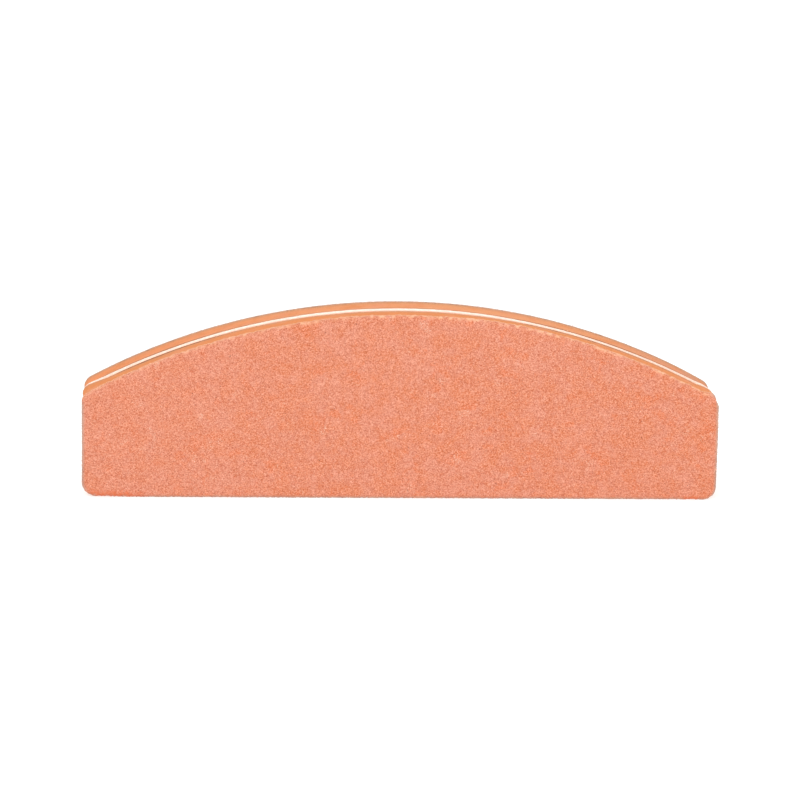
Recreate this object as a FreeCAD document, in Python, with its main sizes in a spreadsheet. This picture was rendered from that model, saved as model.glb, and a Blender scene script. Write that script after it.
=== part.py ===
import FreeCAD, Part
import os

import Sketcher

# A half-moon sponge nail buffer: a die-cut laminate with a straight edge below, a
# shallow arc above and an abrasive face on each side.
#
# Frame: +X along the straight edge, +Y through the thickness from the front face to
# the rear face, +Z up to the crown of the arc. The origin is the middle of the
# straight edge, halfway through the thickness.

SHEET_NAME = "Sizes"
FOLDER = "parts"

# Driving dimensions in millimetres: cell alias, value, meaning.
DIMENSIONS = [
    ("block_length", 90.0, "straight edge, between its sharp corners"),
    ("crown_height", 26.2, "crown of the arc above the straight edge"),
    ("arc_radius", 91.7, "radius of the arc"),
    ("top_corner_radius", 1.75, "rounding where the arc meets an upright end"),
    ("base_corner_radius", 2.0, "rounding where an upright end meets the straight edge"),
    ("core_thickness", 1.4, "stiff plastic plate in the middle"),
    ("core_film_thickness", 0.1, "adhesive film between core and foam"),
    ("foam_thickness", 4.6, "foam pad"),
    ("foam_recess", 0.2, "how far the cut edge of the foam springs back from the outline"),
    ("sheet_film_thickness", 0.1, "adhesive film between foam and backing paper"),
    ("backing_thickness", 0.25, "backing paper of the abrasive sheet"),
    ("grit_thickness", 0.25, "coat of abrasive grains in resin"),
    ("rim_radius", 0.15, "rounded outer rim of the coat of grains"),
]

# Layers of one half of the laminate, outwards from the core: name of the piece, cell
# with its thickness, expression for how far its outline sits back.
LAYERS = [
    ("core_adhesive", "core_film_thickness", "0"),
    ("foam_pad", "foam_thickness", "foam_recess"),
    ("sheet_adhesive", "sheet_film_thickness", "0"),
    ("backing_paper", "backing_thickness", "0"),
    ("grit_coat", "grit_thickness", "0"),
]

# The two halves of the laminate and the side of the core that each lies on.
HALVES = [
    ("front", -1),
    ("rear", 1),
]

# Numbers of the curves in the outline sketch, and of a curve's points.
BASE, RIGHT_END, ARC, LEFT_END = 0, 1, 2, 3
START, FINISH, CENTRE = 1, 2, 3
SKETCH_ORIGIN, SKETCH_VERTICAL = -1, -2

# Two faces closer together than this, in millimetres, are the same face.
SAME_PLACE = 1e-6


def make_sizes(doc):
    """The spreadsheet that holds every driving dimension."""
    sheet = doc.addObject("Spreadsheet::Sheet", SHEET_NAME)
    for row, (alias, value, meaning) in enumerate(DIMENSIONS, start=1):
        sheet.set(f"A{row}", alias)
        sheet.set(f"B{row}", str(value))
        sheet.set(f"C{row}", meaning)
        sheet.setAlias(f"B{row}", alias)
    doc.recompute()
    return sheet


def cell(alias):
    """Expression that reads one cell, or a plain number as it is."""
    return alias if alias == "0" else f"{SHEET_NAME}.{alias}"


def origin_plane(body, role):
    """One of the body's own origin planes."""
    return next(item for item in body.Origin.OriginFeatures if item.Role == role)


def draw_outline(sketch, sheet):
    """Curves of the half-moon, counter-clockwise from the straight edge."""
    half = sheet.block_length / 2
    centre = FreeCAD.Vector(0, sheet.crown_height - sheet.arc_radius, 0)
    circle = Part.Circle(centre, FreeCAD.Vector(0, 0, 1), sheet.arc_radius)
    rise = (sheet.arc_radius**2 - half**2) ** 0.5
    base_left = FreeCAD.Vector(-half, 0, 0)
    base_right = FreeCAD.Vector(half, 0, 0)
    top_right = centre + FreeCAD.Vector(half, rise, 0)
    top_left = centre + FreeCAD.Vector(-half, rise, 0)
    sketch.addGeometry(Part.LineSegment(base_left, base_right))
    sketch.addGeometry(Part.LineSegment(base_right, top_right))
    sketch.addGeometry(
        Part.ArcOfCircle(circle, circle.parameter(top_right), circle.parameter(top_left))
    )
    sketch.addGeometry(Part.LineSegment(top_left, base_left))


def join_outline(sketch):
    """Constraints without a size: a closed outline, level, upright and symmetric."""
    for first, second in ((BASE, RIGHT_END), (RIGHT_END, ARC), (ARC, LEFT_END), (LEFT_END, BASE)):
        sketch.addConstraint(Sketcher.Constraint("Coincident", first, FINISH, second, START))
    sketch.addConstraint(Sketcher.Constraint("Vertical", RIGHT_END))
    sketch.addConstraint(Sketcher.Constraint("Vertical", LEFT_END))
    sketch.addConstraint(Sketcher.Constraint("PointOnObject", ARC, CENTRE, SKETCH_VERTICAL))
    sketch.addConstraint(
        Sketcher.Constraint("Symmetric", BASE, START, BASE, FINISH, SKETCH_VERTICAL)
    )


def size_outline(sketch, sheet, recess):
    """Constraints with a size, each bound to the sheet: the outline moved inwards by the recess."""
    sizes = [
        (
            "edge_length",
            Sketcher.Constraint("DistanceX", BASE, START, BASE, FINISH, sheet.block_length),
            f"{cell('block_length')} - 2 * {cell(recess)}",
        ),
        (
            "edge_rise",
            Sketcher.Constraint("DistanceY", SKETCH_ORIGIN, START, BASE, START, 0),
            f"{cell(recess)}",
        ),
        (
            "arc_radius",
            Sketcher.Constraint("Radius", ARC, sheet.arc_radius),
            f"{cell('arc_radius')} - {cell(recess)}",
        ),
        (
            "centre_depth",
            Sketcher.Constraint(
                "DistanceY", ARC, CENTRE, SKETCH_ORIGIN, START, sheet.arc_radius - sheet.crown_height
            ),
            f"{cell('arc_radius')} - {cell('crown_height')}",
        ),
    ]
    for name, constraint, expression in sizes:
        sketch.renameConstraint(sketch.addConstraint(constraint), name)
        sketch.setExpression(f"Constraints.{name}", expression)


def make_outline(body, sheet, recess):
    """Half-moon sketch in the body's XZ plane."""
    sketch = body.newObject("Sketcher::SketchObject", f"{body.Name}_outline")
    sketch.AttachmentSupport = [(origin_plane(body, "XZ_Plane"), "")]
    sketch.MapMode = "FlatFace"
    draw_outline(sketch, sheet)
    join_outline(sketch)
    size_outline(sketch, sheet, recess)
    return sketch


def corner_edges(shape, upper):
    """Names of the edges through the thickness at the top corners, or at the base corners."""
    quarter_height = shape.BoundBox.Center.z / 2
    names = []
    for number, edge in enumerate(shape.Edges, start=1):
        box = edge.BoundBox
        through = box.XLength < box.YLength and box.ZLength < box.YLength
        if through and (box.Center.z > quarter_height) == upper:
            names.append(f"Edge{number}")
    return names


def round_corners(body, feature, upper, radius, recess):
    """Rounds the two top corners or the two base corners of a layer."""
    fillet = body.newObject("PartDesign::Fillet", f"{body.Name}_{radius}")
    fillet.Base = (feature, corner_edges(feature.Shape, upper))
    fillet.setExpression("Radius", f"{cell(radius)} - {cell(recess)}")
    body.Document.recompute()
    return fillet


def make_layer(doc, sheet, name, thickness, middle, recess):
    """One die-cut layer of the laminate, centred on its own middle plane."""
    body = doc.addObject("PartDesign::Body", name)
    body.Label = name
    body.setExpression("Placement.Base.y", middle)
    pad = body.newObject("PartDesign::Pad", f"{name}_pad")
    pad.Profile = make_outline(body, sheet, recess)
    pad.SideType = "Symmetric"
    pad.setExpression("Length", cell(thickness))
    doc.recompute()
    rounded = round_corners(body, pad, True, "top_corner_radius", recess)
    round_corners(body, rounded, False, "base_corner_radius", recess)
    return body


def round_rim(body, side):
    """Rounds the rim of the grit coat's outer face, where the die rolls it over."""
    coat = body.Tip
    outer = max(side * edge.BoundBox.Center.y for edge in coat.Shape.Edges)
    rim = [
        f"Edge{number}"
        for number, edge in enumerate(coat.Shape.Edges, start=1)
        if abs(side * edge.BoundBox.Center.y - outer) < SAME_PLACE
    ]
    fillet = body.newObject("PartDesign::Fillet", f"{body.Name}_rim")
    fillet.Base = (coat, rim)
    fillet.setExpression("Radius", cell("rim_radius"))
    body.Document.recompute()


def make_half(doc, sheet, half, side):
    """The five layers on one side of the core, each lying on the one before."""
    bodies = []
    inner = f"{cell('core_thickness')} / 2"
    for layer, thickness, recess in LAYERS:
        middle = f"{side} * ({inner} + {cell(thickness)} / 2)"
        bodies.append(make_layer(doc, sheet, f"{half}_{layer}", thickness, middle, recess))
        inner = f"{inner} + {cell(thickness)}"
    round_rim(bodies[-1], side)
    return bodies


def make_block(doc):
    """Every piece of the block, from the core outwards."""
    sheet = make_sizes(doc)
    bodies = [make_layer(doc, sheet, "core_plate", "core_thickness", "0", "0")]
    for half, side in HALVES:
        bodies += make_half(doc, sheet, half, side)
    doc.recompute()
    return bodies


def check(doc, bodies):
    """Stops at a failed object, an invalid shape or a piece that isn't one solid."""
    for item in doc.Objects:
        if "Invalid" in item.State or "Error" in item.State:
            raise RuntimeError(f"{item.Label} failed: {item.State}")
    for sketch in doc.findObjects("Sketcher::SketchObject"):
        if not sketch.FullyConstrained:
            raise RuntimeError(f"{sketch.Label} isn't fully constrained")
    for body in bodies:
        shape = body.Shape
        if shape.isNull() or not shape.isValid() or len(shape.Solids) != 1:
            raise RuntimeError(f"{body.Label} isn't one valid solid")


def write_pieces(bodies):
    """One STEP file per piece, named after its label."""
    os.makedirs(FOLDER, exist_ok=True)
    for body in bodies:
        body.Shape.exportStep(os.path.join(FOLDER, f"{body.Label}.step"))
        box = body.Shape.optimalBoundingBox()
        print(
            f"{body.Label:22s} {body.Shape.Volume:9.2f} mm3"
            f"  x {box.XMin:7.2f} {box.XMax:6.2f}"
            f"  y {box.YMin:6.2f} {box.YMax:6.2f}"
            f"  z {box.ZMin:5.2f} {box.ZMax:6.2f}"
        )


document = FreeCAD.newDocument("nail_buffer_block")
pieces = make_block(document)
check(document, pieces)
write_pieces(pieces)
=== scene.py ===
"""Looks of a half-moon sponge nail buffer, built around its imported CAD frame.

Each layer of the laminate is a mesh of its own: a stiff white core, two foam pads with a hollowed
cut edge, thin adhesive films, backing papers that roll over at the die-cut rim, and coats of
abrasive grains with real relief. Lengths are in metres; MM turns millimetres into metres.
"""

import math

import bpy
import numpy as np
from mathutils import Matrix, Vector


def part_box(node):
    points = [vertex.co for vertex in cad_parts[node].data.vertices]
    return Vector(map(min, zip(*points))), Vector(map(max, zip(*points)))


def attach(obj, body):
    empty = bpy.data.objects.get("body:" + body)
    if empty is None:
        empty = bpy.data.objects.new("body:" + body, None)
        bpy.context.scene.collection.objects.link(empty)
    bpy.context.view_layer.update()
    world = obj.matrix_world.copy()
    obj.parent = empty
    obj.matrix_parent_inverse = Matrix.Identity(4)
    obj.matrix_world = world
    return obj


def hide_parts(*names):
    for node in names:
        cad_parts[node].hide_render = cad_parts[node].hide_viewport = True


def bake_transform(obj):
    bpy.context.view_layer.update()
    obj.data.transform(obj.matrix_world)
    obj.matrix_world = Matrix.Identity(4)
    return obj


MM = 0.001

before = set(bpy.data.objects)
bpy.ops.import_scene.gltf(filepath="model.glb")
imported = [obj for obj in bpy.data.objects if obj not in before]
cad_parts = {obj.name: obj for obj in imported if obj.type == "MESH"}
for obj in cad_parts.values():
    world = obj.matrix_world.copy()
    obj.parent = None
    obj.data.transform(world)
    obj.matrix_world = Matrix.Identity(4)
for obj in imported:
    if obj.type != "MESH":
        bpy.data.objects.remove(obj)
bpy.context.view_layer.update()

# Which way each half of the laminate lies along Y, and the seed of its random patterns.
SIDES = {"front": -1, "rear": 1}
SEEDS = {"front": 11, "rear": 47}
# Added to a half's seed, so that its random patterns differ from each other.
SEED_STEPS = {
    "foam cells": 1,
    "foam wave": 2,
    "coat relief": 3,
    "coat wave": 4,
    "loose grains": 5,
    "backing_paper": 13,
    "sheet_adhesive": 14,
}


def seed_of(half, pattern):
    """The seed of one random pattern of one half."""
    return SEEDS[half] + SEED_STEPS[pattern]


# ---------------------------------------------------------------- outline of the half-moon

HALF_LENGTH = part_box("core_plate")[1].x
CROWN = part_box("core_plate")[1].z
ARC_RADIUS = 91.7 * MM
TOP_CORNER = 1.75 * MM
BASE_CORNER = 2.0 * MM

ARC_CENTRE = np.array([0, CROWN - ARC_RADIUS])
BASE_CORNER_CENTRE = np.array([HALF_LENGTH - BASE_CORNER, BASE_CORNER])
TOP_CORNER_X = HALF_LENGTH - TOP_CORNER
TOP_CORNER_CENTRE = np.array(
    [TOP_CORNER_X, ARC_CENTRE[1] + math.sqrt((ARC_RADIUS - TOP_CORNER) ** 2 - TOP_CORNER_X**2)]
)
# Direction, from the level, in which the top corner's rounding runs into the arc.
TOP_CORNER_TURN = math.acos(TOP_CORNER_X / (ARC_RADIUS - TOP_CORNER))
ARC_END_X = ARC_RADIUS * math.cos(TOP_CORNER_TURN)
# The right half's corners: centre, radius, 1 above or -1 below, and the angle spanned from the level.
CORNERS = [
    (BASE_CORNER_CENTRE, BASE_CORNER, -1, math.pi / 2),
    (TOP_CORNER_CENTRE, TOP_CORNER, 1, TOP_CORNER_TURN),
]
FEWEST_ON_STRAIGHT = 2
FEWEST_ON_TURN = 6
# Keeps a division away from zero.
TINY = 1e-9


def straight(start, end, step):
    """Points from start up to, not including, end, and the outward normal of each."""
    start, end = np.array(start), np.array(end)
    length = np.linalg.norm(end - start)
    share = np.linspace(0, 1, max(FEWEST_ON_STRAIGHT, round(length / step)), endpoint=False)[:, None]
    along = (end - start) / length
    normal = np.array([along[1], -along[0]])
    return start + share * (end - start), np.repeat(normal[None], len(share), axis=0)


def turn(centre, radius, first, last, step):
    """Points on a circle from angle first up to, not including, last, and their normals."""
    count = max(FEWEST_ON_TURN, round(radius * abs(last - first) / step))
    angle = np.linspace(first, last, count, endpoint=False)
    normal = np.stack([np.cos(angle), np.sin(angle)], axis=1)
    return np.array(centre) + radius * normal, normal


def outline(step):
    """Points and outward normals round the half-moon, counter-clockwise from the base's left end."""
    right, left = np.array([1, 1]), np.array([-1, 1])
    quarter = math.pi / 2
    base, top = BASE_CORNER_CENTRE, TOP_CORNER_CENTRE
    parts = [
        straight([-base[0], 0], [base[0], 0], step),
        turn(base * right, BASE_CORNER, -quarter, 0, step),
        straight([HALF_LENGTH, base[1]], [HALF_LENGTH, top[1]], step),
        turn(top * right, TOP_CORNER, 0, TOP_CORNER_TURN, step),
        turn(ARC_CENTRE, ARC_RADIUS, TOP_CORNER_TURN, math.pi - TOP_CORNER_TURN, step),
        turn(top * left, TOP_CORNER, math.pi - TOP_CORNER_TURN, math.pi, step),
        straight([-HALF_LENGTH, top[1]], [-HALF_LENGTH, base[1]], step),
        turn(base * left, BASE_CORNER, math.pi, 3 * quarter, step),
    ]
    points, normals = zip(*parts)
    return np.concatenate(points), np.concatenate(normals)


def inset_and_normal(points):
    """How far each point lies inside the half-moon, and the outward normal of the nearest edge."""
    x, z = points[:, 0], points[:, 1]
    side = np.where(x < 0, -1.0, 1.0)
    width = np.abs(x)
    radial = points - ARC_CENTRE
    reach = np.linalg.norm(radial, axis=1)
    insets = np.stack([z, HALF_LENGTH - width, ARC_RADIUS - reach])
    flat = np.zeros_like(x)
    normals = np.stack(
        [
            np.stack([flat, flat - 1], axis=1),
            np.stack([side, flat], axis=1),
            radial / reach[:, None],
        ]
    )
    nearest = insets.argmin(axis=0)
    inset = insets.min(axis=0)
    normal = normals[nearest, np.arange(len(x))]
    for centre, radius, upward, spread in CORNERS:
        across, along = width - centre[0], upward * (z - centre[1])
        within = (across > 0) & (along > 0) & (np.arctan2(along, across) <= spread)
        distance = np.maximum(np.hypot(across, along), TINY)
        inset = np.where(within, radius - distance, inset)
        corner = np.stack([side * across / distance, upward * along / distance], axis=1)
        normal = np.where(within[:, None], corner, normal)
    return inset, normal


def top_of(x):
    """Height of the outline's upper edge at each x."""
    width = np.abs(x)
    arc = ARC_CENTRE[1] + np.sqrt(np.maximum(ARC_RADIUS**2 - width**2, 0))
    corner = TOP_CORNER_CENTRE[1] + np.sqrt(np.maximum(TOP_CORNER**2 - (width - TOP_CORNER_X) ** 2, 0))
    return np.where(width > ARC_END_X, corner, arc)


def bottom_of(x):
    """Height of the outline's lower edge at each x."""
    beyond = np.maximum(np.abs(x) - BASE_CORNER_CENTRE[0], 0)
    return BASE_CORNER - np.sqrt(np.maximum(BASE_CORNER**2 - beyond**2, 0))


# ---------------------------------------------------------------- small helpers for shapes


def waves(place, seed, height, counts):
    """Smooth random waviness: one sine for each count of waves per unit of place, randomly shifted."""
    phases = np.random.default_rng(seed).uniform(0, 2 * math.pi, len(counts))
    total = sum(np.sin(2 * math.pi * place * count + phase) for count, phase in zip(counts, phases))
    return height * total / len(counts)


def swell(x, bumps):
    """Soft bumps along x; each is given by its place, height and width, in mm."""
    total = np.zeros_like(x)
    for place, height, width in bumps:
        total += height * MM * np.exp(-(((x / MM - place) / width) ** 2))
    return total


def ease(value):
    """0 below 0, 1 above 1, smooth between."""
    value = np.clip(value, 0, 1)
    return value * value * (3 - 2 * value)


def on_top(normals, full=0.5):
    """1 on edges that face upwards, from the slope called full; 0 on upright and lower ones."""
    return ease(normals[:, 1] / full)


def around(points):
    """How far round the outline each of its points lies, from 0 to 1."""
    return np.arange(len(points)) / len(points)


def make_piece(name, points, faces, node, body, smooth=True):
    """A mesh object that stands for one CAD node and rides on a body, if one is given."""
    mesh = bpy.data.meshes.new(name)
    mesh.from_pydata(points.tolist(), [], faces)
    mesh.validate()
    mesh.update()
    piece = bpy.data.objects.new(name, mesh)
    bpy.context.scene.collection.objects.link(piece)
    mesh.polygons.foreach_set("use_smooth", [smooth] * len(mesh.polygons))
    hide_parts(node)
    if body:
        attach(piece, body)
    return piece


def point_attribute(piece, name, values):
    """Stores one number per vertex, for the material to read."""
    attribute = piece.data.attributes.new(name, "FLOAT", "POINT")
    attribute.data.foreach_set("value", np.asarray(values, np.float32))


def moved_in(points, normals, inset):
    """The outline moved inwards. The inset may vary round it."""
    return points - normals * np.broadcast_to(inset, len(points))[:, None]


def at_depth(flat, y):
    """Points of the half-moon's plane as 3D points at depth y, which may vary too."""
    return np.stack([flat[:, 0], np.broadcast_to(y, len(flat)), flat[:, 1]], axis=1)


def loft(rings):
    """Vertices and outward faces of a closed solid through equal rings, flat at both ends."""
    count = len(rings[0])
    points = np.concatenate(rings)
    here = np.arange(count)
    after = (here + 1) % count
    faces = []
    for level in range(len(rings) - 1):
        low, high = level * count, (level + 1) * count
        faces += np.stack([low + here, low + after, high + after, high + here], axis=1).tolist()
    faces.append(here[::-1].tolist())
    faces.append((here + (len(rings) - 1) * count).tolist())
    runs_to_rear = rings[-1][0, 1] > rings[0][0, 1]
    if runs_to_rear:
        faces = [face[::-1] for face in faces]
    return points, faces


# ---------------------------------------------------------------- how the die shaped the edge

# The die rolls each sheet's rim over: how deep, over which width and how sharply.
ROLL_DEPTH = 0.45 * MM
ROLL_WIDTH = 0.9 * MM
ROLL_POWER = 2.4
# How far each sheet's upper edge stands out over its foam, and where it stands out further.
PROUD = {"front": 0.20 * MM, "rear": 0.0}
PROUD_SWELLS = {
    "front": [
        (-7, 0.16, 10),
        (13, 0.25, 8),
        (38, -0.16, 7),
        (43.65, 0.50, 0.60),
        (44.6, -0.20, 0.30),
    ],
    "rear": [],
}
# The same for the lower edge.
LOW_SWELLS = {"front": [(-42.5, -0.12, 2.5), (44.0, 0.10, 1.2)], "rear": []}
PROUD_WAVE = {"front": 0.10 * MM, "rear": 0.012 * MM}
PROUD_WAVE_COUNTS = (5.3, 13.0, 23.0, 39.0, 61.0)
PROUD_REACH = 2.5 * MM
# Slope from which an edge of the sheet stands fully proud.
PROUD_SLOPE = 0.7
# The foam and the sheets are cut a little rounder than the core at the upper right corner.
ROUNDER_CORNER = 0.10 * MM
ROUNDER_REACH = 2.4 * MM


def roll_over(inset):
    """How far the sheet is pressed in near its rim, where the die dragged it down."""
    share = np.clip(1 - inset / ROLL_WIDTH, 0, 1)
    return ROLL_DEPTH * share**ROLL_POWER


def round_corner(points):
    """Takes a little off the upper right corner."""
    _, normal = inset_and_normal(points)
    distance = np.linalg.norm(points - TOP_CORNER_CENTRE, axis=1)
    amount = ROUNDER_CORNER * np.exp(-((distance / ROUNDER_REACH) ** 2))
    return points - normal * amount[:, None]


def push_proud(half, points):
    """The sheet's upper edge stands a little proud of the foam, by a wavy amount."""
    points = round_corner(points)
    inset, normal = inset_and_normal(points)
    x = points[:, 0]
    amount = PROUD[half] + waves(x / HALF_LENGTH, SEEDS[half], PROUD_WAVE[half], PROUD_WAVE_COUNTS)
    amount = (amount + swell(x, PROUD_SWELLS[half])) * on_top(normal, PROUD_SLOPE)
    amount = amount + swell(x, LOW_SWELLS[half]) * on_top(-normal)
    amount = amount * ease(1 - inset / PROUD_REACH)
    return points + normal * amount[:, None]


# ---------------------------------------------------------------- pieces

EDGE_STEP = 0.16 * MM


def layer_span(half, layer):
    """Inner and outer y of a layer of one half, measured away from the core."""
    low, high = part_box(f"{half}_{layer}")
    return (low.y, high.y) if half == "rear" else (-high.y, -low.y)


CORE_BEVEL = 0.07 * MM
CORE_WAVE = 0.015 * MM
CORE_WAVE_COUNTS = (12, 34, 91)
CORE_WALL_ROWS = 6
CORE_SEED = 5
# The core stands up a little at both ends of the arc and lies deeper on both shoulders.
CORE_SWELLS = [(-44.1, 0.14, 1.1), (-32.0, -0.05, 9.0), (28.0, -0.07, 11.0), (43.3, 0.12, 0.8)]


def make_core():
    """White plastic plate with slightly rounded, slightly wavy die-cut edges."""
    points, normals = outline(EDGE_STEP)
    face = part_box("core_plate")[1].y
    wavy = waves(around(points), CORE_SEED, CORE_WAVE, CORE_WAVE_COUNTS)
    wavy = wavy - swell(points[:, 0], CORE_SWELLS) * on_top(normals)
    bevelled = moved_in(points, normals, CORE_BEVEL + wavy)
    wall = moved_in(points, normals, wavy)
    depths = np.linspace(-face + CORE_BEVEL, face - CORE_BEVEL, CORE_WALL_ROWS)
    rings = [at_depth(bevelled, -face), *(at_depth(wall, y) for y in depths), at_depth(bevelled, face)]
    vertices, faces = loft(rings)
    return make_piece("core_plate_edge", vertices, faces, "core_plate", "core")


FOAM_ROWS = 30
# The foam lies back by the lip at its rims, by the hollow in between and by the groove at the core.
FOAM_LIP = 0.03 * MM
FOAM_HOLLOW = 0.20 * MM
FOAM_HOLLOW_POWER = 1.2
FOAM_GROOVE = 0.05 * MM
FOAM_GROOVE_WIDTH = 0.20 * MM
FOAM_LEAST_INSET = 0.01 * MM
FOAM_WAVE = 0.03 * MM
FOAM_WAVE_COUNTS = (9, 22, 51, 110)
FOAM_GRAIN = 0.016 * MM
# Where the flat faces are stepped, so that they follow the roll-over.
CAP_INSETS = (0.3 * MM, 0.6 * MM, 0.95 * MM)
# Beside the core, the front pad swells up at the ends of the arc and dips on both shoulders.
CORE_SIDE_SWELLS = {
    "front": [(-44.2, 0.37, 2.1), (-34.0, -0.15, 8.0), (28.0, -0.09, 11.0), (43.7, 0.26, 1.2)],
    "rear": [],
}
# Under the sheet, it follows the sheet's upper right corner.
SHEET_SIDE_SWELLS = {"front": [(43.6, 0.45, 0.8)], "rear": []}


def foam_hollow(share, from_core):
    """How far the cut edge lies back: hollow in mid-thickness, grooved beside the core."""
    hollow = FOAM_LIP + FOAM_HOLLOW * math.sin(math.pi * share) ** FOAM_HOLLOW_POWER
    groove = FOAM_GROOVE * math.exp(-((from_core / FOAM_GROOVE_WIDTH) ** 2))
    return hollow + groove


def foam_rings(half, inner, outer):
    """Rings of a foam pad from its core side to its sheet side, then over its outer face."""
    side, rng = SIDES[half], np.random.default_rng(seed_of(half, "foam cells"))
    points, normals = outline(EDGE_STEP)
    cut = round_corner(points)
    wavy = waves(around(points), seed_of(half, "foam wave"), FOAM_WAVE, FOAM_WAVE_COUNTS)
    core_rise = swell(points[:, 0], CORE_SIDE_SWELLS[half]) * on_top(normals)
    sheet_rise = swell(points[:, 0], SHEET_SIDE_SWELLS[half]) * on_top(normals)
    rings = []
    for share in np.linspace(0, 1, FOAM_ROWS):
        depth = inner + share * (outer - ROLL_DEPTH - inner)
        cells = rng.normal(0, FOAM_GRAIN, len(points))
        inset = np.maximum(foam_hollow(share, depth - inner) + wavy + cells, FOAM_LEAST_INSET)
        rise = core_rise * (1 - share) + sheet_rise * share
        rings.append(at_depth(moved_in(cut, normals, inset - rise), side * depth))
    for inset in CAP_INSETS:
        flat = moved_in(cut, normals, inset + FOAM_LIP - sheet_rise)
        rings.append(at_depth(flat, side * (outer - roll_over(inset))))
    return rings


def make_foam(half):
    """Foam pad: a cut edge with a shallow hollow, a groove beside the core and fine open cells."""
    inner, outer = layer_span(half, "foam_pad")
    vertices, faces = loft(foam_rings(half, inner, outer))
    piece = make_piece(f"{half}_foam_pad_cut", vertices, faces, f"{half}_foam_pad", None)
    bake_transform(piece)
    return piece


# How far each film's cut edge lies behind the outline.
CORE_FILM_RECESS = {"front": 0.11 * MM, "rear": -0.01 * MM}
SHEET_FILM_RECESS = 0.05 * MM
PAPER_RAGGED = 0.03 * MM


def make_core_film(half):
    """Adhesive film between the core and the foam."""
    points, normals = outline(EDGE_STEP)
    flat = moved_in(points, normals, CORE_FILM_RECESS[half])
    vertices, faces = loft([at_depth(flat, SIDES[half] * y) for y in layer_span(half, "core_adhesive")])
    name = f"{half}_core_adhesive_line"
    return make_piece(name, vertices, faces, f"{half}_core_adhesive", "core")


def rolled_plate(half, layer, recess, ragged, name):
    """A thin layer of the abrasive sheet that follows the rolled-over rim."""
    rng = np.random.default_rng(seed_of(half, layer))
    points, normals = outline(EDGE_STEP)
    inner, outer = layer_span(half, layer)
    rim = recess + rng.uniform(-ragged, ragged, len(points))
    profile = [(inset, inner) for inset in reversed(CAP_INSETS)]
    profile += [(0, inner), (0, outer)]
    profile += [(inset, outer) for inset in CAP_INSETS]
    rings = []
    for inset, y in profile:
        flat = moved_in(points, normals, rim if inset == 0 else inset)
        rings.append(at_depth(push_proud(half, flat), SIDES[half] * (y - roll_over(inset))))
    vertices, faces = loft(rings)
    return make_piece(name, vertices, faces, f"{half}_{layer}", f"{half}_sheet")


# Distance between the relief's points, and the share of it by which they are shifted at random.
GRAIN_STEP = 0.18 * MM
GRAIN_JITTER = 0.34
GRAIN_RELIEF = 0.062 * MM
# Above 1, more of the coat lies near its highest grains than deep between them.
GRAIN_RELIEF_POWER = 1.4
# How far the whole coat lies under its outer plane, and how far that wanders, over which lengths.
COAT_SINK = 0.015 * MM
COAT_WAVE = 0.0025 * MM
COAT_WAVE_LENGTHS = (7.1 * MM, 3.3 * MM, 1.7 * MM)
COAT_WAVES_PER_LENGTH = 3
COAT_BEND_POINTS = 14
# How ragged the rim is, and the share of that by which it may go in and out.
RIM_RAGGED = {"front": 0.09 * MM, "rear": 0.02 * MM}
RIM_RAGGED_SPAN = (-1, 0.4)
COAT_BACK_RECESS = 0.02 * MM
# Widths of the pale rim, partly painted highlight, and of the band of painted shade along the rim, and
# the length over which the unshaded arc gives way to the painted shade of the corner at its right end.
RIM_BAND = 0.40 * MM
RIM_SHADE_BAND = 0.42 * MM
RIM_SHADE_FADE = 0.5 * MM
# Places where the lower rim has lost its grains: half, x, length along the rim, reach into the face.
WORN = [
    ("front", -40.4 * MM, 4.4 * MM, 0.95 * MM),
    ("front", 41.4 * MM, 1.4 * MM, 0.55 * MM),
    ("rear", 12.0 * MM, 3.0 * MM, 0.50 * MM),
]


def grit_grid():
    """Flat grid of the half-moon face: columns across, rows from the lower to the upper edge."""
    middle = np.arange(-BASE_CORNER_CENTRE[0], BASE_CORNER_CENTRE[0], GRAIN_STEP)
    bend = np.linspace(0, math.pi / 2, COAT_BEND_POINTS)
    end = BASE_CORNER_CENTRE[0] + BASE_CORNER * np.sin(bend)
    x = np.concatenate([-end[:0:-1], middle, end])
    rows = round(CROWN / GRAIN_STEP)
    share = np.linspace(0, 1, rows)[:, None]
    z = bottom_of(x) + share * (top_of(x) - bottom_of(x))
    return np.broadcast_to(x, z.shape), z


def grid_border(rows, columns):
    """Vertex numbers round the grid, counter-clockwise from its lower left corner."""
    number = np.arange(rows * columns).reshape(rows, columns)
    return np.concatenate([number[0, :-1], number[:-1, -1], number[-1, :0:-1], number[:0:-1, 0]])


def smooth_field(points, seed, height, lengths):
    """Smooth random height over the face: crossed waves in random directions."""
    rng = np.random.default_rng(seed)
    total = np.zeros(len(points))
    for length in lengths:
        for _ in range(COAT_WAVES_PER_LENGTH):
            angle = rng.uniform(0, math.pi)
            travel = points @ np.array([math.cos(angle), math.sin(angle)])
            total += np.sin(2 * math.pi * travel / length + rng.uniform(0, 2 * math.pi))
    return height * total / len(lengths)


def fray_grid(half, flat, border, rng):
    """Shifts the inner points and frays the border at random; gives insets and normals too."""
    inside = np.ones(len(flat), bool)
    inside[border] = False
    jitter = rng.uniform(-GRAIN_JITTER, GRAIN_JITTER, flat.shape) * GRAIN_STEP
    frayed = flat + jitter * inside[:, None]
    inset, normal = inset_and_normal(frayed)
    out = rng.uniform(*RIM_RAGGED_SPAN, len(border)) * RIM_RAGGED[half]
    frayed[border] += normal[border] * out[:, None]
    return frayed, np.maximum(inset, 0), normal


def coat_relief(half, flat, rng):
    """How far each point of the coat lies under its outer plane."""
    grains = GRAIN_RELIEF * rng.random(len(flat)) ** GRAIN_RELIEF_POWER
    wave = smooth_field(flat, seed_of(half, "coat wave"), COAT_WAVE, COAT_WAVE_LENGTHS)
    return grains + (COAT_SINK + wave)


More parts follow.
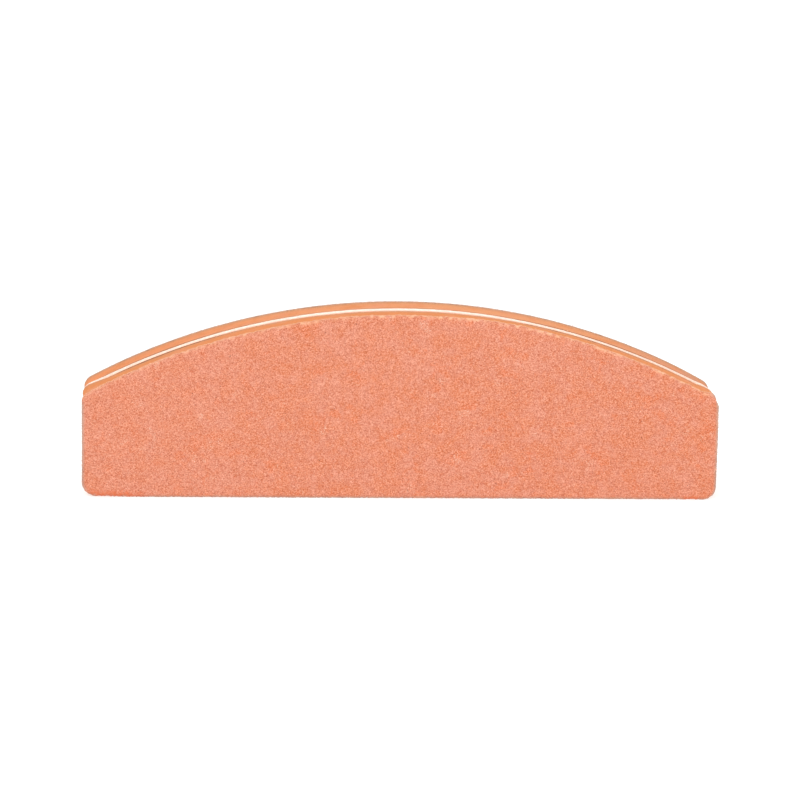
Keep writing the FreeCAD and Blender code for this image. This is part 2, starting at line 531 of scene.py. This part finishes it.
def grid_triangles(rows, columns, rng):
    """Triangles between the grid's points; each square is cut along a random diagonal."""
    number = np.arange(rows * columns).reshape(rows, columns)
    quads = np.stack([number[:-1, :-1], number[:-1, 1:], number[1:, 1:], number[1:, :-1]], axis=-1)
    quads = quads.reshape(-1, 4)
    other_way = rng.random(len(quads)) < 0.5
    quads[other_way] = np.roll(quads[other_way], 1, axis=1)
    return np.concatenate([quads[:, [0, 1, 2]], quads[:, [0, 2, 3]]]).tolist()


def coat_back(half, points):
    """Rings of the coat's rear side: at its rim, then inwards along the roll-over."""
    inner, _ = layer_span(half, "grit_coat")
    _, normals = inset_and_normal(points)
    rings = []
    for inset in (0, *CAP_INSETS):
        flat = push_proud(half, moved_in(points, normals, max(inset, COAT_BACK_RECESS)))
        rings.append(at_depth(flat, SIDES[half] * (inner - roll_over(inset))))
    return rings


def closing_faces(border, first, rings):
    """Faces from the grid's border over the rings behind it, whose vertices start at number first."""
    numbers = [border] + [first + level * len(border) + np.arange(len(border)) for level in range(rings)]
    faces = []
    for near, far in zip(numbers, numbers[1:]):
        faces += np.stack([near, far, np.roll(far, -1), np.roll(near, -1)], axis=1).tolist()
    faces.append(numbers[-1][::-1].tolist())
    return faces


def rim_shade_mask(half, flat, normal):
    """Where the rim gets painted shade: all round at the rear; at the front, not along the arc."""
    if half == "rear":
        return np.ones(len(flat))
    before_corner = ease((ARC_END_X - flat[:, 0]) / RIM_SHADE_FADE)
    return 1 - on_top(normal) * before_corner


def worn_spots(half, flat):
    """1 where the lower rim is worn down to the orange layer under the grains, 0 elsewhere."""
    total = np.zeros(len(flat))
    for which, x, length, reach in WORN:
        if which == half:
            along = np.exp(-(((flat[:, 0] - x) / length) ** 4))
            # Whole up to half the reach, gone at one and a half times it.
            upward = ease(1.5 - flat[:, 1] / reach)
            total = np.maximum(total, along * upward)
    return total


def make_grit_coat(half):
    """Coat of grains: a dense faceted relief that rolls over at a ragged rim."""
    rng = np.random.default_rng(seed_of(half, "coat relief"))
    x, z = grit_grid()
    border = grid_border(*z.shape)
    grid = np.stack([x.ravel(), z.ravel()], axis=1)
    flat, inset, normal = fray_grid(half, grid, border, rng)
    relief = coat_relief(half, flat, rng)
    _, outer = layer_span(half, "grit_coat")
    depth = outer - roll_over(inset) - np.maximum(relief, 0)
    flat = push_proud(half, flat)
    back = coat_back(half, grid[border])
    vertices = np.concatenate([at_depth(flat, SIDES[half] * depth), *back])
    faces = grid_triangles(*z.shape, rng) + closing_faces(border, len(flat), len(back))
    if half == "rear":
        faces = [face[::-1] for face in faces]
    name = f"{half}_grit_coat_relief"
    piece = make_piece(name, vertices, faces, f"{half}_grit_coat", f"{half}_sheet", smooth=False)
    # Mask of the rim's painted shade.
    rim_shade = rim_shade_mask(half, flat, normal)
    hidden = np.ones(len(vertices) - len(flat))
    # For each value that the paint reads: what the grid's points have, and what the rings behind have.
    values = {
        "height": (1 - np.clip(relief / GRAIN_RELIEF, 0, 1), 0 * hidden),
        "rim": (np.clip(1 - inset / RIM_BAND, 0, 1), hidden),
        "worn": (worn_spots(half, flat), 0 * hidden),
        # How much painted shade each point of the rim gets.
        "painted_rim_shade": (np.clip(1 - inset / RIM_SHADE_BAND, 0, 1) * rim_shade, np.tile(rim_shade[border], len(back))),
    }
    for value_name, on_each in values.items():
        point_attribute(piece, value_name, np.concatenate(on_each))
    return piece


GRAIN_DENSITY = 4.2 / (MM * MM)
GRAIN_SIZE = (0.05 * MM, 0.105 * MM)
GRAIN_STRETCH = (0.6, 1.3)
# The share of the relief, and of its own size, by which a loose grain is sunk into the coat.
GRAIN_SINK = 0.45
OCTAHEDRON = np.array([[1, 0, 0], [-1, 0, 0], [0, 1, 0], [0, -1, 0], [0, 0, 1], [0, 0, -1]], float)
OCTAHEDRON_FACES = np.array(
    [[0, 2, 4], [2, 1, 4], [1, 3, 4], [3, 0, 4], [2, 0, 5], [1, 2, 5], [3, 1, 5], [0, 3, 5]]
)


def random_rotations(count, rng):
    """Rotation matrices from random unit quaternions."""
    q = rng.normal(size=(count, 4))
    w, x, y, z = (q / np.linalg.norm(q, axis=1, keepdims=True)).T
    rows = [
        [1 - 2 * (y * y + z * z), 2 * (x * y - z * w), 2 * (x * z + y * w)],
        [2 * (x * y + z * w), 1 - 2 * (x * x + z * z), 2 * (y * z - x * w)],
        [2 * (x * z - y * w), 2 * (y * z + x * w), 1 - 2 * (x * x + y * y)],
    ]
    return np.moveaxis(np.array(rows), 2, 0)


def scatter_over_face(rng):
    """Random points over the half-moon, even in density."""
    box_area = 2 * HALF_LENGTH * CROWN
    tries = round(box_area * GRAIN_DENSITY)
    points = rng.uniform([-HALF_LENGTH, 0], [HALF_LENGTH, CROWN], (tries, 2))
    inside = (points[:, 1] > bottom_of(points[:, 0])) & (points[:, 1] < top_of(points[:, 0]))
    return points[inside]


def make_grains(half):
    """Single sharp grains that stand out of the coat, each a lopsided octahedron."""
    rng = np.random.default_rng(seed_of(half, "loose grains"))
    flat = scatter_over_face(rng)
    inset, _ = inset_and_normal(flat)
    count = len(flat)
    size = rng.uniform(*GRAIN_SIZE, count)
    stretch = rng.uniform(*GRAIN_STRETCH, (count, len(OCTAHEDRON), 1))
    corners = OCTAHEDRON[None] * stretch * size[:, None, None]
    corners = np.einsum("nij,nkj->nki", random_rotations(count, rng), corners)
    _, outer = layer_span(half, "grit_coat")
    depth = outer - roll_over(np.maximum(inset, 0)) - GRAIN_RELIEF * GRAIN_SINK - size * GRAIN_SINK
    centres = at_depth(push_proud(half, flat), SIDES[half] * depth)
    vertices = (corners + centres[:, None]).reshape(-1, 3)
    first_corner = len(OCTAHEDRON) * np.arange(count)
    faces = (OCTAHEDRON_FACES[None] + first_corner[:, None, None]).reshape(-1, 3).tolist()
    name = f"{half}_grit_coat_grains"
    return make_piece(name, vertices, faces, f"{half}_grit_coat", f"{half}_sheet", smooth=False)


# ---------------------------------------------------------------- materials


def tone(red, green, blue):
    """A screen colour, 0 to 1, as the linear colour that nodes work in."""
    return tuple(
        value / 12.92 if value <= 0.04045 else ((value + 0.055) / 1.055) ** 2.4
        for value in (red, green, blue)
    ) + (1.0,)


# Numbers of the mix node's colour sockets, which share their names with its other sockets.
MIX_FACTOR = 0
MIX_FIRST = 6
MIX_SECOND = 7
MIX_RESULT = 2


class Paint:
    """A node material under construction."""

    def __init__(self, name):
        self.material = bpy.data.materials.new(name)
        self.material.use_nodes = True
        self.tree = self.material.node_tree
        self.shader = next(n for n in self.tree.nodes if n.type == "BSDF_PRINCIPLED")
        place = self.add("ShaderNodeTexCoord").outputs["Object"]
        scaled = self.add("ShaderNodeVectorMath", {0: place, 1: (1 / MM,) * 3}, operation="MULTIPLY")
        self.place_mm = scaled.outputs[0]

    def add(self, kind, inputs=None, **settings):
        """A new node; an input is linked if it is given a socket, and set otherwise."""
        node = self.tree.nodes.new(kind)
        for name, value in settings.items():
            setattr(node, name, value)
        for key, value in (inputs or {}).items():
            self.feed(node.inputs[key], value)
        return node

    def feed(self, socket, value):
        """Links or sets one input."""
        if isinstance(value, bpy.types.NodeSocket):
            self.tree.links.new(value, socket)
        else:
            socket.default_value = value

    def noise(self, scale, detail=2.0, stretch=(1, 1, 1), rough=0.5):
        """Smooth noise; scale is features per millimetre."""
        place = self.add("ShaderNodeVectorMath", {0: self.place_mm, 1: stretch}, operation="MULTIPLY")
        inputs = {"Vector": place.outputs[0], "Scale": scale, "Detail": detail, "Roughness": rough}
        return self.add("ShaderNodeTexNoise", inputs).outputs["Fac"]

    def cells(self, scale, output="Distance"):
        """Cell pattern; scale is cells per millimetre."""
        inputs = {"Vector": self.place_mm, "Scale": scale}
        return self.add("ShaderNodeTexVoronoi", inputs).outputs[output]

    def axis(self, name):
        """Millimetres along one axis of the block."""
        return self.add("ShaderNodeSeparateXYZ", {0: self.place_mm}).outputs[name]

    def from_middle(self, name):
        """Millimetres from the middle of the block along one axis, either way."""
        return self.maths("ABSOLUTE", self.axis(name), 0.0)

    def read(self, name):
        """A number stored on the vertices."""
        return self.add("ShaderNodeAttribute", attribute_name=name).outputs["Fac"]

    def ramp(self, factor, stops):
        """Colour by factor; stops are (place, colour)."""
        node = self.add("ShaderNodeValToRGB", {"Fac": factor})
        elements = node.color_ramp.elements
        while len(elements) < len(stops):
            elements.new(0.5)
        for element, (place, colour) in zip(elements, stops):
            element.position = place
            element.color = colour
        return node.outputs["Color"]

    def span(self, value, low, high, to_low=0.0, to_high=1.0):
        """Maps low..high to another range, clamped."""
        inputs = {"Value": value, "From Min": low, "From Max": high, "To Min": to_low, "To Max": to_high}
        return self.add("ShaderNodeMapRange", inputs).outputs[0]

    def maths(self, operation, first, second):
        """Arithmetic on two numbers; ABSOLUTE uses only the first."""
        return self.add("ShaderNodeMath", {0: first, 1: second}, operation=operation).outputs[0]

    def mix(self, factor, first, second):
        """Mix of two colours."""
        inputs = {MIX_FACTOR: factor, MIX_FIRST: first, MIX_SECOND: second}
        return self.add("ShaderNodeMix", inputs, data_type="RGBA").outputs[MIX_RESULT]

    def bump(self, height, distance, under=None):
        """Surface bump; distance in metres. It may lie on top of another bump."""
        node = self.add("ShaderNodeBump", {"Height": height, "Distance": distance})
        if under:
            self.feed(node.inputs["Normal"], under)
        return node.outputs["Normal"]

    def finish(self, **inputs):
        """Feeds the shader and hands the material over; underscores stand for spaces."""
        for name, value in inputs.items():
            self.feed(self.shader.inputs[name.replace("_", " ")], value)
        return self.material


SALMON = tone(0.855, 0.526, 0.398)
SALMON_PINK = tone(0.861, 0.554, 0.448)
SALMON_ORANGE = tone(0.858, 0.506, 0.350)
SALMON_VIVID = tone(0.875, 0.480, 0.300)
GRAIN_PALE = tone(0.985, 0.735, 0.635)
GRAIN_DEEP = tone(0.660, 0.310, 0.180)
GRAIN_DARK = tone(0.400, 0.230, 0.160)
DUST = tone(0.970, 0.830, 0.740)
# Pale tone of the rim: partly its fuzz, partly painted highlight.
RIM_PALE_HIGHLIGHT = tone(0.975, 0.750, 0.600)
# Painted shade tones of the rim: along it, under the base, and on the rear sheet.
RIM_SHADE = tone(0.740, 0.610, 0.550)
RIM_UNDER_SHADE = tone(0.695, 0.545, 0.480)
REAR_RIM_SHADE = tone(0.800, 0.700, 0.640)
WORN_ORANGE = tone(0.850, 0.440, 0.270)
FOAM_LEFT = tone(0.891, 0.552, 0.352)
FOAM_RIGHT = tone(0.873, 0.584, 0.398)
FOAM_FRONT = tone(0.864, 0.536, 0.325)
FOAM_DEEP = tone(0.850, 0.525, 0.315)
FOAM_ROSY = tone(0.870, 0.557, 0.395)
# Glue stain and painted shade beside the core, and painted shade beside the rear sheet.
FOAM_STAIN_AND_SHADE = tone(0.765, 0.550, 0.400)
# Darker tone of the foam's upper ends.
FOAM_DARK_END = tone(0.620, 0.450, 0.360)
FOAM_GREYED = tone(0.800, 0.550, 0.432)
PAPER = tone(0.940, 0.720, 0.560)
PAPER_DEEP = tone(0.870, 0.590, 0.420)
CORE_WHITE = tone(0.985, 0.835, 0.750)
# Darker tone of the core's streaks, used also as its painted shade.
CORE_SHADE = tone(0.968, 0.770, 0.680)
GLUE = tone(0.720, 0.490, 0.345)
GLUE_DEEP = tone(0.650, 0.440, 0.310)

# Cells per mm: fine grains, the coarser beads they lie in, specks of dust, and the foam's pores.
GRIT_CELLS = 9.5
BEAD_CELLS = 5.0
DUST_CELLS = 6.0
FOAM_CELLS = 6.5
# Places along X in mm: the face turns pinker towards its left end, and the pale rim (partly painted
# highlight) fades there.
PINK_FROM, PINK_FULL = -15, -40
PALE_RIM_FADED, PALE_RIM_FULL = -40, -8


def mottled_resin(paint):
    """Soft patches of salmon: orange to pink, with a few vivid ones."""
    broad = paint.span(paint.noise(0.17, 2.0), 0.3, 0.7, -0.11, 0.11)
    mottle = paint.maths("ADD", paint.noise(0.50, 4.0, rough=0.60), broad)
    colour = paint.ramp(mottle, [(0.38, SALMON_ORANGE), (0.5, SALMON), (0.62, SALMON_PINK)])
    vivid = paint.span(paint.noise(0.42, 4.0, rough=0.6), 0.58, 0.66, 0, 0.8)
    colour = paint.mix(vivid, colour, SALMON_VIVID)
    left_end = paint.span(paint.axis("X"), PINK_FROM, PINK_FULL, 0, 0.35)
    return paint.mix(left_end, colour, SALMON_PINK)


def speckle(paint, colour):
    """Pale and deep grains over a colour, each cell with a tint of its own."""
    speck = paint.add("ShaderNodeSeparateColor", {0: paint.cells(GRIT_CELLS, "Color")}).outputs[0]
    colour = paint.mix(paint.span(speck, 0.5, 1.0, 0, 0.56), colour, GRAIN_PALE)
    colour = paint.mix(paint.span(speck, 0.5, 0.0, 0, 0.52), colour, GRAIN_DEEP)
    bead = paint.cells(BEAD_CELLS)
    colour = paint.mix(paint.span(bead, 0.50, 0.20, 0, 0.25), colour, GRAIN_PALE)
    return paint.mix(paint.span(bead, 0.55, 0.85, 0, 0.30), colour, GRAIN_DEEP)


def dust_and_valley_shade(paint, colour):
    """Specks of pale dust in places, and painted shade in the hollows between the grains."""
    spot = paint.span(paint.noise(0.45, 2.0), 0.66, 0.72)
    speck = paint.span(paint.cells(DUST_CELLS), 0.38, 0.20, 0, 0.9)
    colour = paint.mix(paint.maths("MULTIPLY", spot, speck), colour, DUST)
    # Painted shade: the deeper a point lies between the grains, the darker it is painted.
    valley_shade = paint.span(paint.read("height"), 0.25, 0.9, 0.12, 0.0)
    return paint.mix(valley_shade, colour, GRAIN_DEEP)


def pale_rim_and_highlight(paint, colour):
    """Pale flecks along the rim, partly pale fuzz of the cut edge and partly painted highlight, fainter
    towards the left end.
    """
    flecks = paint.span(paint.noise(1.1, 6.0), 0.47, 0.60, 0.10, 1.0)
    fading = paint.span(paint.axis("X"), PALE_RIM_FADED, PALE_RIM_FULL, 0.45, 0.85)
    rim = paint.maths("MULTIPLY", paint.span(paint.read("rim"), 0.1, 0.8), fading)
    # Partly painted highlight: the rim's pale flecks.
    return paint.mix(paint.maths("MULTIPLY", rim, flecks), colour, RIM_PALE_HIGHLIGHT)


def shaded_rim(paint, colour):
    """Painted shade along the rim: darkest under the base, a paler grey on the rear sheet."""
    # Painted shade: darker towards the base.
    rim_shade = paint.mix(paint.span(paint.axis("Z"), 0.2, 1.2), RIM_UNDER_SHADE, RIM_SHADE)
    # Painted shade on the rear sheet's rim, in a paler grey.
    rim_shade = paint.mix(paint.span(paint.axis("Y"), 0, 1), rim_shade, REAR_RIM_SHADE)
    return paint.mix(paint.span(paint.read("painted_rim_shade"), 0.0, 0.8, 0, 0.8), colour, rim_shade)


def worn_patches(paint, colour):
    """The orange layer that shows where the grains have worn off."""
    patchy = paint.span(paint.noise(1.6, 6.0, rough=0.7), 0.36, 0.56, 0, 0.9)
    return paint.mix(paint.maths("MULTIPLY", paint.read("worn"), patchy), colour, WORN_ORANGE)


def grit_paint():
    """Salmon resin full of grains: speckled, softly mottled, with painted shade in its hollows and along
    the rim, paler at the rim (partly painted highlight) and worn there.
    """
    paint = Paint("grit_coat")
    colour = speckle(paint, mottled_resin(paint))
    for layer in (dust_and_valley_shade, pale_rim_and_highlight, shaded_rim, worn_patches):
        colour = layer(paint, colour)
    fine = paint.bump(paint.noise(16, 3.0), 0.03 * MM)
    normal = paint.bump(paint.cells(7.5), 0.04 * MM, under=fine)
    return paint.finish(Base_Color=colour, Roughness=0.82, Normal=normal, Specular_IOR_Level=0.35)


def grain_paint():
    """Single grains, each with a tint of its own, a little glassier than the resin."""
    paint = Paint("loose_grains")
    tint = paint.add("ShaderNodeNewGeometry").outputs["Random Per Island"]
    stops = [(0.002, GRAIN_DARK), (0.02, GRAIN_DEEP), (0.3, SALMON_ORANGE)]
    stops += [(0.7, SALMON_PINK), (0.95, GRAIN_PALE)]
    colour = paint.ramp(tint, stops)
    normal = paint.bump(paint.noise(24, 2.0), 0.02 * MM)
    return paint.finish(Base_Color=colour, Roughness=0.5, Normal=normal)


# Places in the foam, in mm: its face on the core's film and how far the glue stain and painted shade
# beside that reach, then the band of painted shade along the rear sheet's rolled rim.
CORE_FACE = 0.8
FRONT_STAIN_END, REAR_STAIN_END = 1.7, 2.1
REAR_RIM_START, REAR_RIM_END = 3.9, 5.2
# Where the rear foam greys along the arc, and where the upper corners are darker.
GREYED_LOW, GREYED_HIGH = 9, 15
DARK_END_FROM, DARK_END_FULL = 44.1, 44.9
DARK_END_LOW, DARK_END_HIGH = 14.5, 16.5


def foam_tint(paint):
    """Orange that differs from front to rear; the rear pad greys towards its right end."""
    along = paint.span(paint.axis("X"), -HALF_LENGTH / MM, HALF_LENGTH / MM)
    rear = paint.ramp(along, [(0.0, FOAM_LEFT), (0.6, FOAM_RIGHT)])
    on_arc = paint.span(paint.axis("Z"), GREYED_LOW, GREYED_HIGH)
    greyed = paint.maths("MULTIPLY", paint.span(along, 0.82, 1.0), on_arc)
    rear = paint.mix(greyed, rear, FOAM_GREYED)
    return paint.mix(paint.span(paint.axis("Y"), -0.5, 0.5), FOAM_FRONT, rear)


def foam_clouds(paint, colour):
    """Deeper and rosier clouds, and dark pores."""
    cloudy = paint.span(paint.noise(0.45, 3.0), 0.48, 0.66, 0.0, 0.8)
    colour = paint.mix(cloudy, colour, FOAM_DEEP)
    rosy = paint.span(paint.noise(0.33, 3.0, stretch=(1, 1.7, 1)), 0.50, 0.66, 0.0, 0.8)
    colour = paint.mix(rosy, colour, FOAM_ROSY)
    pore = paint.span(paint.cells(FOAM_CELLS), 0.0, 0.22, 0.5, 0.0)
    return paint.mix(pore, colour, FOAM_DEEP)


def foam_stains_and_shade(paint, colour):
    """Glue stain and painted shade beside the core, painted shade along the rear sheet, and darker upper
    corners.
    """
    stain_end = paint.span(paint.axis("Y"), -0.5, 0.5, FRONT_STAIN_END, REAR_STAIN_END)
    # Glue stain with painted shade in the groove beside the core.
    beside_core = paint.span(paint.from_middle("Y"), CORE_FACE, stain_end, 0.9, 0.0)
    colour = paint.mix(beside_core, colour, FOAM_STAIN_AND_SHADE)
    # Painted shade along the rear sheet's rolled rim.
    beside_sheet = paint.span(paint.axis("Y"), REAR_RIM_START, REAR_RIM_END, 0.0, 0.95)
    colour = paint.mix(beside_sheet, colour, FOAM_STAIN_AND_SHADE)
    # Darker towards the upper ends of the foam.
    at_end = paint.span(paint.from_middle("X"), DARK_END_FROM, DARK_END_FULL, 0.0, 0.5)
    high_up = paint.span(paint.axis("Z"), DARK_END_LOW, DARK_END_HIGH)
    return paint.mix(paint.maths("MULTIPLY", at_end, high_up), colour, FOAM_DARK_END)


def foam_paint():
    """Orange foam cut by a die: fine cells, soft streaks, and a line of glue stain and painted shade
    along the core.
    """
    paint = Paint("eva_foam")
    colour = foam_stains_and_shade(paint, foam_clouds(paint, foam_tint(paint)))
    streaked = paint.bump(paint.noise(5.0, 2.0, stretch=(1, 0.12, 1)), 0.03 * MM)
    normal = paint.bump(paint.cells(FOAM_CELLS), 0.05 * MM, under=streaked)
    return paint.finish(Base_Color=colour, Roughness=0.9, Normal=normal, Specular_IOR_Level=0.25)


# How far from its middle, in mm along X, the core gets painted shade, and from where it no longer does.
CORE_SHADED, CORE_CLEAR = 18, 40


def core_paint():
    """White polystyrene sheet, faintly streaked where the die sheared it, with painted shade over the
    middle of the arc.
    """
    paint = Paint("core_plastic")
    streak = paint.noise(2.4, 3.0, stretch=(1, 0.2, 1))
    colour = paint.ramp(streak, [(0.35, CORE_SHADE), (0.6, CORE_WHITE)])
    # Painted shade: the middle of the arc, which faces the lamps most, is darkened towards CORE_SHADE.
    middle_shade = paint.span(paint.from_middle("X"), CORE_SHADED, CORE_CLEAR, 0.85, 0.0)
    colour = paint.mix(middle_shade, colour, CORE_SHADE)
    normal = paint.bump(paint.noise(6.0, 3.0, stretch=(1, 0.2, 1)), 0.02 * MM)
    rough = paint.span(streak, 0.3, 0.7, 0.55, 0.35)
    return paint.finish(Base_Color=colour, Roughness=rough, Normal=normal)


def paper_paint():
    """Dyed backing paper seen edge-on: pale, fibrous, uneven, with painted shade on the rear paper's
    edge.
    """
    paint = Paint("backing_paper")
    fibre = paint.noise(6.0, 5.0, stretch=(0.35, 1, 0.35))
    colour = paint.ramp(fibre, [(0.36, PAPER_DEEP), (0.6, PAPER)])
    # Painted shade: the rear paper's edge is greyed towards the rear rim's shade tone.
    colour = paint.mix(paint.span(paint.axis("Y"), 0, 1, 0, 0.8), colour, REAR_RIM_SHADE)
    normal = paint.bump(fibre, 0.05 * MM)
    return paint.finish(Base_Color=colour, Roughness=0.92, Normal=normal)


def glue_paint():
    """Clear acrylic adhesive, dull amber at its cut edge."""
    paint = Paint("adhesive_film")
    smear = paint.noise(1.8, 3.0)
    colour = paint.ramp(smear, [(0.35, GLUE_DEEP), (0.65, GLUE)])
    normal = paint.bump(paint.noise(8.0, 2.0), 0.02 * MM)
    return paint.finish(Base_Color=colour, Roughness=0.85, Normal=normal, Specular_IOR_Level=0.1)


# ---------------------------------------------------------------- stage, light and camera

WHITE = (1.0, 1.0, 1.0, 1.0)
FLOOR_REACH = 3.0
FLOOR_COLOUR = (0.5, 0.5, 0.5, 1.0)
FLOOR_GLOW = 0.62
SURROUND_LIGHT = 0.78
# Square lamps of one width: name, place and power.
LAMP_WIDTH = 0.6
LAMPS = [
    ("key", (-0.35, -0.70, 0.75), 4.5),
    ("fill", (0.60, -0.50, 0.35), 1.5),
    ("back", (0.00, 0.80, 0.45), 3.0),
]
CAMERA_AZIMUTH = math.radians(-3.375)
CAMERA_ELEVATION = math.radians(14.06)
CAMERA_ROLL = math.radians(1.18)
CAMERA_DISTANCE = 487.6 * MM
CAMERA_LENS = 153.95
CAMERA_TARGET = Vector((0, 0, 12.97 * MM))
CAMERA_NEAREST = 10 * MM


def make_floor():
    """Plain pale floor that stays evenly bright and takes a faint shadow."""
    mesh = bpy.data.meshes.new("floor")
    signs = [(-1, -1), (1, -1), (1, 1), (-1, 1)]
    corners = [(x * FLOOR_REACH, y * FLOOR_REACH, 0) for x, y in signs]
    mesh.from_pydata(corners, [], [(0, 1, 2, 3)])
    floor = bpy.data.objects.new("floor", mesh)
    bpy.context.scene.collection.objects.link(floor)
    material = Paint("floor").finish(
        Base_Color=FLOOR_COLOUR,
        Roughness=1.0,
        Specular_IOR_Level=0.0,
        Emission_Color=WHITE,
        Emission_Strength=FLOOR_GLOW,
    )
    mesh.materials.append(material)


def make_world():
    """Even white surround: pure white to the camera, softer as a light."""
    world = bpy.data.worlds.new("surround")
    bpy.context.scene.world = world
    world.use_nodes = True
    nodes, links = world.node_tree.nodes, world.node_tree.links
    background = nodes["Background"]
    background.inputs["Color"].default_value = WHITE
    seen = nodes.new("ShaderNodeLightPath").outputs["Is Camera Ray"]
    level = nodes.new("ShaderNodeMapRange")
    level.inputs["To Min"].default_value = SURROUND_LIGHT
    links.new(seen, level.inputs["Value"])
    links.new(level.outputs["Result"], background.inputs["Strength"])


def make_lamp(name, place, power):
    """Square area light that faces the object."""
    light = bpy.data.lights.new(name, "AREA")
    light.size = LAMP_WIDTH
    light.energy = power
    lamp = bpy.data.objects.new(name, light)
    lamp.location = place
    lamp.rotation_mode = "QUATERNION"
    lamp.rotation_quaternion = (CAMERA_TARGET - Vector(place)).to_track_quat("-Z", "Y")
    bpy.context.scene.collection.objects.link(lamp)


def make_camera():
    """Long lens, a little above the block and a hair to its left, rolled by a degree."""
    flat = math.cos(CAMERA_ELEVATION)
    across = math.sin(CAMERA_AZIMUTH) * flat
    towards = -math.cos(CAMERA_AZIMUTH) * flat
    back = Vector((across, towards, math.sin(CAMERA_ELEVATION)))
    camera = bpy.data.objects.new("camera", bpy.data.cameras.new("camera"))
    camera.data.lens = CAMERA_LENS
    camera.data.clip_start = CAMERA_NEAREST
    turned = back.to_track_quat("Z", "Y").to_matrix() @ Matrix.Rotation(CAMERA_ROLL, 3, "Z")
    camera.matrix_world = Matrix.Translation(CAMERA_TARGET + back * CAMERA_DISTANCE) @ turned.to_4x4()
    bpy.context.scene.collection.objects.link(camera)
    bpy.context.scene.camera = camera


# ---------------------------------------------------------------- the whole scene


def build_block():
    """Every visible piece of the block with its material."""
    glue, foam, paper = glue_paint(), foam_paint(), paper_paint()
    grit, grains = grit_paint(), grain_paint()
    painted = [(make_core(), core_paint())]
    for half in SIDES:
        film_name = f"{half}_sheet_adhesive_line"
        paper_name = f"{half}_backing_paper_edge"
        painted += [
            (make_core_film(half), glue),
            (make_foam(half), foam),
            (rolled_plate(half, "sheet_adhesive", SHEET_FILM_RECESS, 0, film_name), glue),
            (rolled_plate(half, "backing_paper", 0, PAPER_RAGGED, paper_name), paper),
            (make_grit_coat(half), grit),
            (make_grains(half), grains),
        ]
    for piece, material in painted:
        piece.data.materials.append(material)


build_block()
make_floor()
make_world()
for lamp in LAMPS:
    make_lamp(*lamp)
make_camera()
bpy.context.scene.view_settings.view_transform = "Standard"
